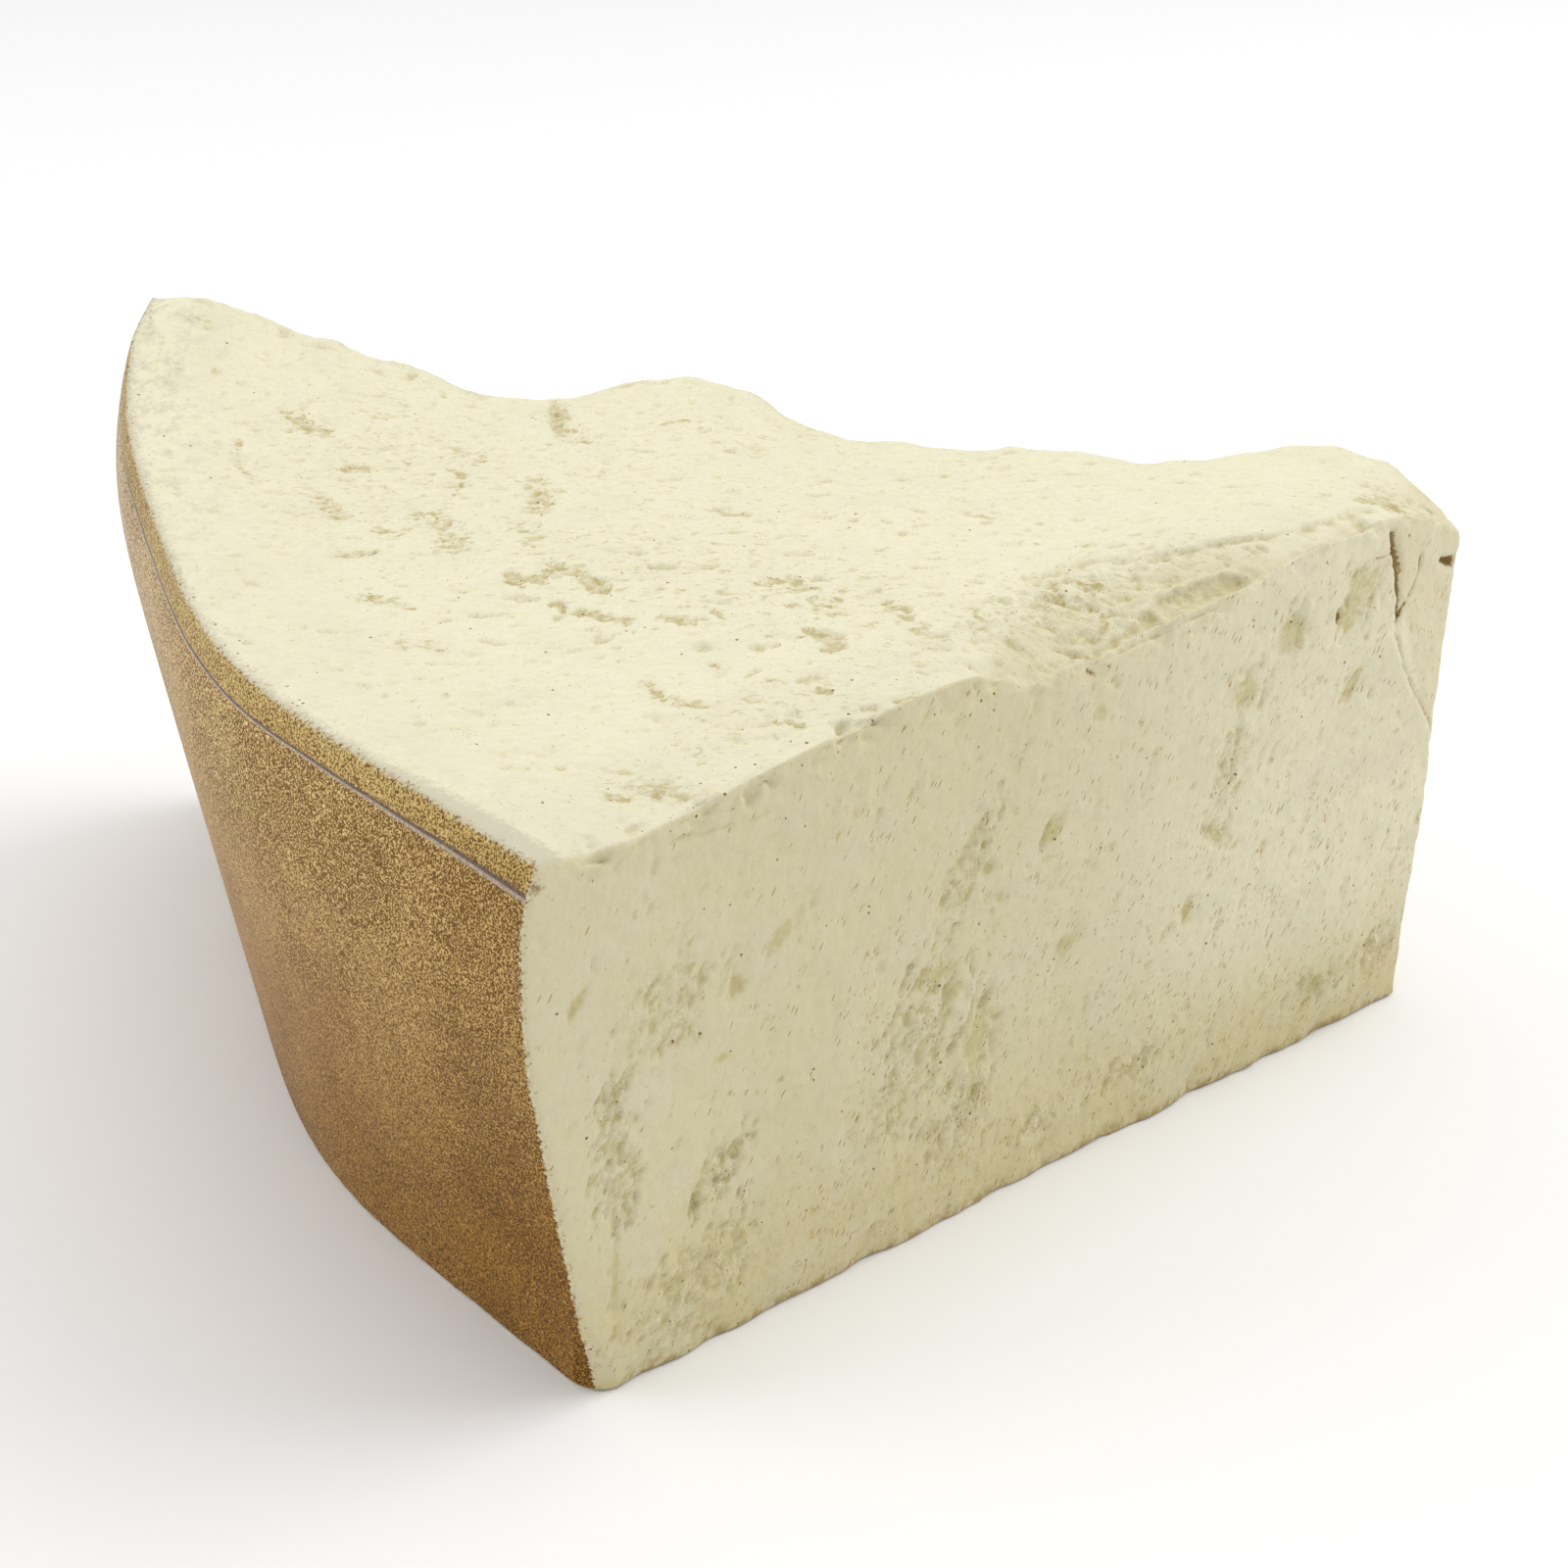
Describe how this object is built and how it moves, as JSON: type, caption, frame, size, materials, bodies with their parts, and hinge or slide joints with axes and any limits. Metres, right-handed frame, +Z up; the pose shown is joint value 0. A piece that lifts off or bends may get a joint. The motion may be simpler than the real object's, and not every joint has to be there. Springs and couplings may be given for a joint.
{
  "type": "imitation parmesan chunk",
  "caption": "Display imitation of a broken wedge of hard cheese: curved brown rind, crumbly cream sides and top, blunt tip, flat base to stand on.",
  "frame": {"origin": "middle of the footprint, on the base plane", "axes": "+Z up; +Y along the chord across the rind, from the near corner to the back corner; +X from the rind towards the blunt tip"},
  "size_m": [0.251, 0.2502, 0.1211],
  "materials": {
    "painted_body": "matt cream paint on the broken faces, satin speckled brown paint on the rind"
  },
  "bodies": {
    "root": {"parmesan_chunk": "painted_body"}
  },
  "joints": []
}
